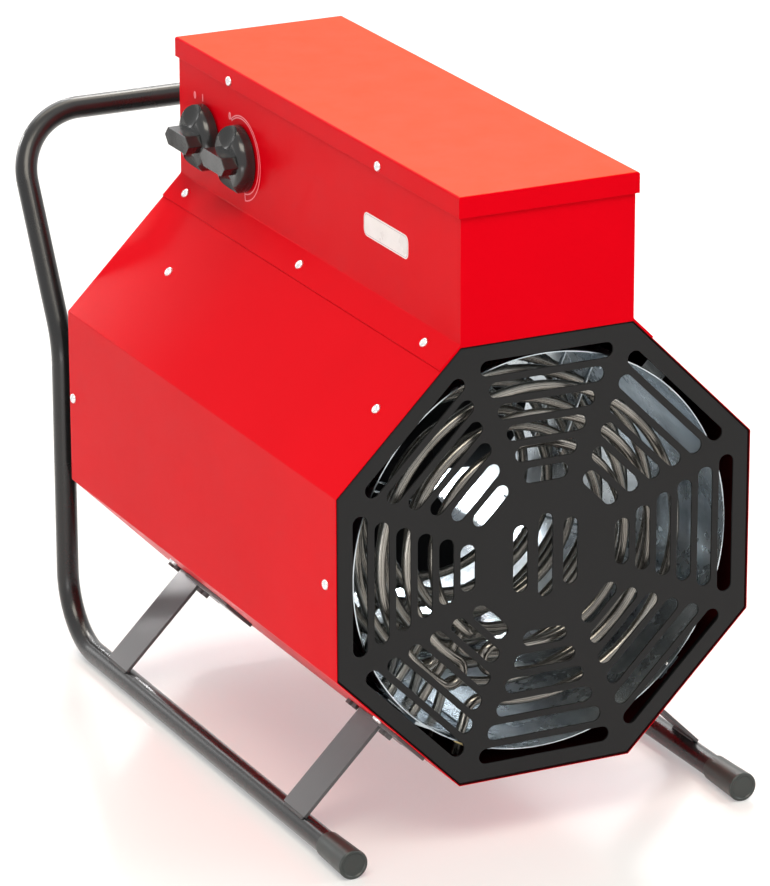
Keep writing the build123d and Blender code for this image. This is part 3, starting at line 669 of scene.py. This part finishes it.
def makeGuard(facts):
    lines = []
    for wire in range(-facts["eachSide"], facts["eachSide"] + 1):
        aside = wire * facts["pitch"]
        half = math.sqrt(facts["reach"] ** 2 - aside ** 2)
        lines.append([atDepth(facts["depth"], aside, end) for end in (-half, half)])
    half = math.sqrt(facts["reach"] ** 2 - facts["level"] ** 2)
    for level in (-facts["level"], facts["level"]):
        depth = facts["depth"] + facts["behind"] * facts["wire"]
        lines.append([atDepth(depth, end, level) for end in (-half, half)])
    radius = facts["wire"] * mm * facts["fit"]
    wires = rod("rearGuardWires", lines, radius, "root", "black_paint", roundness=3)
    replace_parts(wires, "rear_guard")


makeGuard(guard)

# screws: pan heads with a cross recess
screw = {
    "radius": 4.5, "height": 2.4, "crown": 5, "arm": 2.3, "armHalf": 0.62, "recess": 1.3,
    "sideSlope": 0.5, "endSlope": 0.9, "turned": 0.7, "rings": 12, "sides": 48,
    "lidDepths": (143.5, 435.0), "lidHeight": 113.0, "flangeDepths": (45.0, 280.0, 515.0),
    "flangeMiddle": 12.5, "slopeDepths": (39.0, 450.0), "sideDepths": (19.0, 538.0),
}
slopes = (45, 135, 225, 315)


def screwHead(facts, place, turned):
    points = []
    for ring in range(facts["rings"] + 1):
        radius = facts["radius"] * math.sin(math.pi / 2 * ring / facts["rings"])
        height = facts["height"] * math.sqrt(max(0.0, 1 - (radius / facts["radius"]) ** facts["crown"]))
        for index in range(facts["sides"]):
            turn = math.tau * index / facts["sides"]
            x, y = radius * math.cos(turn + turned), radius * math.sin(turn + turned)
            along, across = max(abs(x), abs(y)), min(abs(x), abs(y))
            inArm = (facts["armHalf"] + facts["sideSlope"] / 2 - across) / facts["sideSlope"]
            inEnd = (facts["arm"] - along) / facts["endSlope"]
            inArm, inEnd = min(1.0, max(0.0, inArm)), min(1.0, max(0.0, inEnd))
            points.append(place @ (Vector((radius * math.cos(turn), radius * math.sin(turn),
                                           height - facts["recess"] * inArm * inEnd)) * mm))
    return points, ringFaces(facts["rings"] + 1, facts["sides"])


def makeScrews(name, node, places):
    points, faces = joined([screwHead(screw, place, screw["turned"] * index)
                            for index, place in enumerate(places)])
    heads = fromPoints(name, points, faces, "root", "zinc_screws", crease=50)
    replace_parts(heads, node)


aside = casing["halfSide"] / mm - screw["flangeMiddle"]
screwPlaces = {
    "lidScrewHeads": ("lid_screws", [
        onBoxSide(side, depth, screw["lidHeight"], 2.7)
        for side in (-1, 1) for depth in screw["lidDepths"]]),
    "flangeScrewHeads": ("flange_screws", [
        onPanel(angle, depth, side * aside, 1.2)
        for angle, side in ((45, 1), (135, -1)) for depth in screw["flangeDepths"]]),
    "casingScrewHeads": ("casing_screws", [
        onPanel(angle, depth)
        for angles, depths in ((slopes, screw["slopeDepths"]), ((0, 180), screw["sideDepths"]))
        for angle in angles for depth in depths]),
}
for name, (node, places) in screwPlaces.items():
    makeScrews(name, node, places)

# blind rivets in the drum's front edge, over the slope panels
rivet = {"depth": 12.0, "radius": 2.3, "height": 1.1, "drumWall": 1.0}


def makeRivets(facts):
    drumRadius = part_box("inner_drum")[1].x / mm - facts["drumWall"]
    profile = [(facts["height"] * math.sin(turn) * mm, facts["radius"] * math.cos(turn) * mm)
               for turn in turnSteps(0, 90, 6)]
    heads = []
    for angle in slopes:
        place = acrossAxis(drumRadius, angle, facts["depth"])
        inwards = acrossAxis(0.0, angle, facts["depth"]) - place
        heads.append(lathe(profile, place, inwards, 24))
    points, faces = joined(heads)
    fromPoints("drumRivets", points, faces, "root", "zinc_screws", crease=60)


makeRivets(rivet)

# struts' nuts, each on its stud, and the weld beads between strut and tube
strut = {
    "depths": (91.0, 459.0), "width": 40.0, "sheet": 3.0, "lift": 11.5, "nutFlats": 6.0,
    "nutHeight": 4.0, "nutProfile": ((4.0, 1.16), (0.7, 1.16), (0.25, 1.06), (0.0, 0.94)),
    "stud": 1.7, "studProfile": ((0.0, 0.25), (0.4, 0.0), (0.1, 0.0)),
    "boltFromBar": 8.0, "boltSpacing": 11.0,
    "bead": 1.7, "beadPlaces": ((9.6, 3.6), (8.1, 6.4)), "beadShort": 2.0, "beadSteps": 44,
    "beadSwell": 0.16, "beadWave": 2.1, "beadEnd": 0.6,
}


def hexNut(facts, place):
    # a nut with its top edge turned off, and the end of its stud, by drops from the nut's top
    half, height, stud = facts["nutFlats"] / 2, facts["nutHeight"], facts["stud"]
    points, sides = [], 48
    levels = [(height - drop, half * share) for drop, share in facts["nutProfile"]]
    levels += [(height - drop, stud + gap) for drop, gap in facts["studProfile"]]
    levels.append((levels[-1][0], 0.0))
    for level, most in levels:
        for index in range(sides):
            turn = math.tau * index / sides
            fold = (math.degrees(turn) + 30) % 60 - 30
            radius = min(half / math.cos(math.radians(fold)), most)
            spot = Vector((radius * math.cos(turn), radius * math.sin(turn), level))
            points.append(place @ (spot * mm))
    return points, ringFaces(len(levels), sides)


def makeStrutTrim(facts):
    nuts, beads, steps = [], [], facts["beadSteps"]
    for depth in facts["depths"]:
        for angle, side in ((225, -1), (315, 1)):
            panel = onPanel(angle, depth)
            tube = panel.inverted() @ onFloor(depth, side, skidHeight(depth))
            top = tube.y / mm + side * facts["lift"]
            middle = top - side * facts["sheet"] / 2
            for beside, seat in ((-1, facts["sheet"]), (1, 0.0)):
                for away in (facts["boltFromBar"], facts["boltFromBar"] + facts["boltSpacing"]):
                    spot = Vector((beside * (facts["width"] / 2 + away), middle, seat)) * mm
                    nuts.append(hexNut(facts, panel @ Matrix.Translation(spot)))
            for aside, short in facts["beadPlaces"]:
                reach = facts["width"] / 2 - facts["beadShort"]
                start, end = (Vector((x, tube.y / mm + side * aside, tube.z / mm - short))
                              for x in (-reach, reach))
                beads.append([panel @ (start.lerp(end, index / steps) * mm)
                              for index in range(steps + 1)])
    points, faces = joined(nuts)
    pieces = fromPoints("strutNuts", points, faces, "root", "zinc_screws", finish="dark_nuts")
    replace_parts(pieces, "strut_nuts")
    swell = [1.0 + facts["beadSwell"] * math.cos(index * facts["beadWave"])
             for index in range(steps + 1)]
    swell[0] = swell[-1] = facts["beadEnd"]
    rod("strutWelds", beads, facts["bead"] * mm, "root", "strut_steel", roundness=3, radii=swell)


makeStrutTrim(strut)
print("fasteners made")

# knobs: a domed disc scooped on both sides of a six-sided grip
knob = {
    "depths": {"thermostat": 416.0, "switch": 491.0}, "height": 48.6, "gap": 1.0, "radius": 29.5,
    "rim": 0.5, "skirt": 6.0, "faceRadius": 22.0, "face": 15.0, "scoop": 19.0, "scoopWidth": 38.0,
    "scoopFloor": 6.5, "gripHeight": 27.5, "gripLength": 51.0, "gripWidth": 16.0, "gripPoint": 7.0,
    "gripFoot": 0.4, "edge": 0.5,
}


def looseObject(name, points, faces):
    mesh = bpy.data.meshes.new(name)
    mesh.from_pydata([tuple(point) for point in points], [], faces)
    work = bmesh.new()
    work.from_mesh(mesh)
    bmesh.ops.remove_doubles(work, verts=work.verts, dist=weld)
    bmesh.ops.recalc_face_normals(work, faces=work.faces)
    work.to_mesh(mesh)
    work.free()
    loose = bpy.data.objects.new(name, mesh)
    scene.collection.objects.link(loose)
    return loose


def combined(base, operations):
    # the base's mesh after the booleans; base and tools are removed
    for tool, operation in operations:
        change = base.modifiers.new(operation, "BOOLEAN")
        change.operation, change.object, change.solver = operation, tool, "EXACT"
    bpy.context.view_layer.update()
    mesh = bpy.data.meshes.new_from_object(base.evaluated_get(bpy.context.evaluated_depsgraph_get()))
    for loose in [base] + [tool for tool, operation in operations]:
        bpy.data.objects.remove(loose)
    return mesh


def prism(outline, bottom, top, edge):
    # a block over an outline, its upper edge rounded
    points = [(x, y, bottom) for x, y in outline] + [(x, y, top) for x, y in outline]
    count = len(outline)
    faces = [tuple(range(count)), tuple(range(count, 2 * count))]
    faces += [(i, (i + 1) % count, count + (i + 1) % count, count + i) for i in range(count)]
    work = bmesh.new()
    verts = [work.verts.new(point) for point in points]
    for face in faces:
        work.faces.new([verts[index] for index in face])
    bmesh.ops.recalc_face_normals(work, faces=work.faces)
    upper = [e for e in work.edges if max(v.co.z for v in e.verts) > top - edge / 100]
    bmesh.ops.bevel(work, geom=upper, offset=edge, segments=3, affect="EDGES", profile=0.5)
    mesh = bpy.data.meshes.new("prism")
    work.to_mesh(mesh)
    work.free()
    return mesh


def makeKnob(facts, name, body):
    place = onBoxSide(-1, facts["depths"][name], facts["height"])
    gap, face, rim, edge = facts["gap"], facts["face"], facts["rim"], facts["edge"]
    radius, faceRadius, skirt = facts["radius"], facts["faceRadius"], facts["skirt"]
    rise, run = face - skirt, radius - faceRadius
    shoulder = [(gap + skirt + rise * math.sin(turn), faceRadius + run * math.cos(turn))
                for turn in turnSteps(0, 90, 12)]
    profile = [(gap, 0.0), (gap, radius - rim), (gap + rim, radius)] + shoulder + [(gap + face, 0.0)]
    disc = looseObject("disc", *lathe(profile, Vector(), Vector((0, 0, 1)), 96))
    scoop, reach = facts["scoop"], facts["scoopWidth"] / 2
    spoon = [(-reach * math.cos(turn), scoop * math.sin(turn))
             for turn in turnSteps(0, 180, 30)]
    tip, half, tools = facts["gripLength"] / 2, facts["gripWidth"] / 2, []
    for side in (-1, 1):
        centre = Vector((0, side * (half + scoop), facts["scoopFloor"] + scoop))
        tools.append((looseObject("scoop", *lathe(spoon, centre, Vector((1, 0, 0)), 120)), "DIFFERENCE"))
    square = tip - facts["gripPoint"]
    outline = [(-tip, 0), (-square, -half), (square, -half), (tip, 0), (square, half), (-square, half)]
    block = prism(outline, gap + facts["gripFoot"], gap + facts["gripHeight"], edge)
    grip = bpy.data.objects.new("grip", block)
    scene.collection.objects.link(grip)
    mesh = combined(disc, tools + [(grip, "UNION")])
    mesh.transform(place @ Matrix.Scale(mm, 4))
    piece = settle(mesh, name + "Knob", body, "knob_black", crease=28)
    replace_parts(piece, name + "_knob")


makeKnob(knob, "switch", "switch_dial")
makeKnob(knob, "thermostat", "thermostat_dial")
print("knobs moulded")

# printing and label on the left wall of the box, nothing thicker than paint or foil
printing = {
    "thickness": 0.12, "line": 1.0, "size": 8.5, "bold": 0.4,
    "marks": (("0", 514.0, 80.5), ("1", 497.5, 82.0), ("0", 440.5, 80.0)),
    "scaleStart": -36.0, "scaleEnd": 172.0, "scaleOuter": 37.5, "scaleNarrow": 2.8, "scaleWide": 7.0,
    "scaleSteps": 48, "label": (134.5, 56.5), "labelSize": (82.0, 20.5), "labelCorner": 6.0,
    "labelThickness": 0.25,
    "labelLayers": (("labelFoil", "label_white", (0.0,), 0.0),
                    ("labelBorder", "label_line", (1.2, 1.65), 0.02)),
}


def onWall(depth, height, out):
    # x forwards, y up and z out of the left wall
    place = Matrix(((0, -1, 0), (0, 0, 1), (-1, 0, 0))).transposed().to_4x4()
    place.translation = onBoxSide(-1, depth, height, out).translation
    return place


def flatCurve(name, thickness):
    curve = bpy.data.curves.new(name, "CURVE")
    curve.dimensions = "2D"
    curve.fill_mode = "BOTH"
    curve.extrude = thickness / 2 * mm
    return curve


def makeMark(facts, index, text, depth, height):
    curve = bpy.data.curves.new(f"dialMark{index}", "FONT")
    curve.body = text
    curve.size = facts["size"] * mm
    curve.align_x, curve.align_y = "CENTER", "CENTER"
    curve.offset = facts["bold"] * mm
    curve.extrude = facts["thickness"] / 2 * mm
    fromCurve(f"dialMark{index}", curve, "root", "red_paint", finish="print_pale",
              place=onWall(depth, height, facts["thickness"] / 2))


def makeScale(facts):
    # a temperature wedge round the dial, its inner side drawing in as it goes
    steps = facts["scaleSteps"]

    def wedge(shrink):
        turns = [facts["scaleStart"] + (facts["scaleEnd"] - facts["scaleStart"]) * index / steps
                 for index in range(steps + 1)]
        first, last = turns[0] + 2 * shrink, turns[-1] - 2 * shrink
        turns = [min(last, max(first, angle)) for angle in turns]
        outer = [around((facts["scaleOuter"] - shrink) * mm, 90 - angle) for angle in turns]
        inner = []
        for index, angle in enumerate(turns):
            share = (index / steps) ** 2
            width = facts["scaleNarrow"] + (facts["scaleWide"] - facts["scaleNarrow"]) * share
            inner.append(around((facts["scaleOuter"] - width + shrink) * mm, 90 - angle))
        return outer + inner[::-1]

    curve = flatCurve("temperatureScale", facts["thickness"])
    addSpline(curve, wedge(0.0), closed=True)
    addSpline(curve, wedge(facts["line"]), closed=True)
    fromCurve("temperatureScale", curve, "root", "red_paint", finish="print_pale",
              place=onWall(knob["depths"]["thermostat"], knob["height"], facts["thickness"] / 2))


def labelOutline(facts, inset):
    # the label's round-cornered edge, drawn in by the inset
    width, height = facts["labelSize"]
    corner, points = facts["labelCorner"], []
    for quarter, (right, up) in enumerate(((1, 1), (-1, 1), (-1, -1), (1, -1))):
        centre = Vector((right * (width / 2 - corner), up * (height / 2 - corner)))
        for turn in turnSteps(90 * quarter, 90 * quarter + 90, 8):
            points.append((centre + Vector((math.cos(turn), math.sin(turn))) * (corner - inset)) * mm)
    return points


def makeLabel(facts):
    # each layer's name, finish, outlines and lift off the wall
    for name, finish, insets, out in facts["labelLayers"]:
        curve = flatCurve(name, facts["labelThickness"])
        for inset in insets:
            addSpline(curve, labelOutline(facts, inset), closed=True)
        fromCurve(name, curve, "root", "device_grey", finish=finish,
                  place=onWall(*facts["label"], facts["labelThickness"] / 2 + out))


for index, mark in enumerate(printing["marks"], start=1):
    makeMark(printing, index, *mark)
makeScale(printing)
makeLabel(printing)
print("wall printed")

# every other node keeps its solid, with its sharp edges broken
edges = {
    "casing_shell": 0.3, "control_box": 0.3, "box_lid": 0.3, "rear_panel": 0.4, "inner_drum": 0.2,
    "fan_impeller": 0.5, "fan_motor": 0.8, "motor_bracket": 0.5, "cable_gland": 0.6, "gland_nut": 0.5,
    "contactor": 0.6, "terminal_block": 0.5, "terminal_nuts": 0.5, "fan_nut": 0.6, "motor_bolts": 0.5,
}
bends = {"casing_shell": 0.9, "control_box": 1.0}  # rounding of the folds of 45 degrees
refining = {"plain": 0.3, "flat": 0.6, "sharp": 38, "fold": 52, "foldLength": 100.0}


def makeRefined(node, body, slotName):
    work = bmesh.new()
    work.from_mesh(nodes[node].data)
    bmesh.ops.remove_doubles(work, verts=work.verts, dist=weld)
    bmesh.ops.dissolve_limit(work, angle_limit=math.radians(refining["flat"]), verts=work.verts,
                             edges=work.edges)
    sharp, fold = math.radians(refining["sharp"]), math.radians(refining["fold"])
    if node in bends:
        folds = [e for e in work.edges if e.is_manifold and sharp < e.calc_face_angle() < fold
                 and e.calc_length() > refining["foldLength"] * mm]
        bmesh.ops.bevel(work, geom=folds, offset=bends[node] * mm, segments=4, affect="EDGES",
                        profile=0.5)
    creases = [e for e in work.edges if e.is_manifold and e.calc_face_angle() > sharp]
    bmesh.ops.bevel(work, geom=creases, offset=edges.get(node, refining["plain"]) * mm, segments=2,
                    affect="EDGES", profile=0.5, clamp_overlap=True)
    words = node.split("_")
    name = words[0] + "".join(word.capitalize() for word in words[1:])
    mesh = bpy.data.meshes.new(name)
    work.to_mesh(mesh)
    work.free()
    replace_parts(settle(mesh, name, body, slotName), node)


handMade = {"front_grille", "stand_tube", "foot_cap_left", "foot_cap_right", "rear_guard", "strut_nuts",
            "switch_knob", "thermostat_knob"}
handMade |= {node for node, places in screwPlaces.values()}
handMade |= {f"heating_element_{number}" for number in range(1, len(element["layers"]) + 1)}
bodies = frame["record"]["behaviour"]["bodies"]
homes = {node: body for body, members in bodies.items() for node in members}
for subpart in frame["record"]["subparts"]:
    if subpart["node"] not in handMade:
        makeRefined(subpart["node"], homes[subpart["node"]], subpart["material_slot"])
print("edges broken on the other nodes")


# studio: pale floor, soft lights, white surroundings
studio = {
    "floorSize": 14.0, "floorColour": (0.95, 0.945, 0.945), "floorRoughness": 0.25, "floorGloss": 0.8,
    "floorIor": 1.8, "glowShare": 0.28, "glow": 1.3, "worldLight": 0.42, "aim": (0, 0, 0.28),
    "spotBlend": 0.3,
}
lamps = [
    {"name": "keySoftbox", "at": (-1.1, -1.9, 3.3), "size": (2.2, 1.6), "power": 82,
     "colour": (1, 0.93, 0.8)},
    {"name": "topSoftbox", "at": (0.5, 0.9, 3.2), "size": (3.2, 0.8), "power": 36,
     "colour": (1, 0.9, 0.74)},
    {"name": "handleSoftbox", "at": (1.13, 1.87, 2.8), "size": (0.9, 0.7), "power": 34,
     "colour": (1, 0.95, 0.88), "aim": (-0.05, 0.34, 0.55)},
    {"name": "rearLeftSoftbox", "at": (-1.24, 2.95, 0.75), "size": (0.8, 0.9), "power": 6},
    {"name": "lowSoftbox", "at": (-0.85, -0.75, 0.12), "size": (0.6, 0.2), "power": 1.3,
     "aim": (-0.1, -0.2, 0.15)},
    {"name": "rightSoftbox", "at": (2.6, -1.4, 1.6), "size": (1.4, 2.0), "power": 24},
    {"name": "backSoftbox", "at": (0.6, 3.0, 2.4), "size": (3.0, 1.4), "power": 34},
    {"name": "inletSpotLeft", "at": (-0.53, 1.47, 0.67), "radius": 0.12, "power": 45,
     "aim": (0, 0.2, 0.25), "cone": 13},
    {"name": "inletSpotRight", "at": (0.26, 1.38, 0.91), "radius": 0.12, "power": 45,
     "aim": (0, 0.2, 0.25), "cone": 13},
]


def makeFloor():
    mesh = bpy.data.meshes.new("studioFloor")
    half = studio["floorSize"] / 2
    corners = [(-half, -half, 0), (half, -half, 0), (half, half, 0), (-half, half, 0)]
    mesh.from_pydata(corners, [], [(0, 1, 2, 3)])
    floor = bpy.data.objects.new("studioFloor", mesh)
    scene.collection.objects.link(floor)
    finish = Finish("floorGloss", {
        "Base Color": studio["floorColour"], "Roughness": studio["floorRoughness"],
        "Specular IOR Level": studio["floorGloss"], "IOR": studio["floorIor"],
    })
    output = finish.tree.nodes["Material Output"]
    glow = finish.add("ShaderNodeEmission", {}, {1: studio["glow"]})
    seen = finish.add("ShaderNodeLightPath", output="Is Camera Ray")
    seen = seen.most(finish.add("ShaderNodeLightPath", output="Is Glossy Ray")) * studio["glowShare"]
    surface = Value(finish.tree, finish.shader.outputs[0])
    mixed = finish.add("ShaderNodeMixShader", {}, {0: seen, 1: surface, 2: glow})
    plug(finish.tree, output.inputs["Surface"], mixed)
    mesh.materials.append(finish.material)


def makeLamp(facts):
    if "cone" in facts:
        data = bpy.data.lights.new(facts["name"], "SPOT")
        data.spot_size, data.spot_blend = math.radians(facts["cone"]), studio["spotBlend"]
        data.shadow_soft_size = facts["radius"]
    else:
        data = bpy.data.lights.new(facts["name"], "AREA")
        data.shape = "RECTANGLE"
        data.size, data.size_y = facts["size"]
    data.energy = facts["power"]
    lamp = bpy.data.objects.new(facts["name"], data)
    lamp.location = facts["at"]
    data.color = facts.get("colour", (1, 1, 1))
    aim = Vector(facts.get("aim", studio["aim"])) - Vector(facts["at"])
    lamp.rotation_euler = aim.to_track_quat("-Z", "Y").to_euler()
    lamp.visible_camera = False
    scene.collection.objects.link(lamp)


def makeWorld():
    world = bpy.data.worlds.new("studioWorld")
    world.use_nodes = True
    tree = world.node_tree
    background = tree.nodes["Background"]
    background.inputs["Color"].default_value = (1, 1, 1, 1)
    rays = tree.nodes.new("ShaderNodeLightPath")
    seen = Value(tree, rays.outputs["Is Camera Ray"]).most(Value(tree, rays.outputs["Is Glossy Ray"]))
    seen = seen.most(Value(tree, rays.outputs["Is Transmission Ray"]))
    plug(tree, background.inputs["Strength"], seen * (1 - studio["worldLight"]) + studio["worldLight"])
    scene.world = world


makeFloor()
for lamp in lamps:
    makeLamp(lamp)
makeWorld()
scene.view_settings.view_transform = "Standard"
print("studio built")
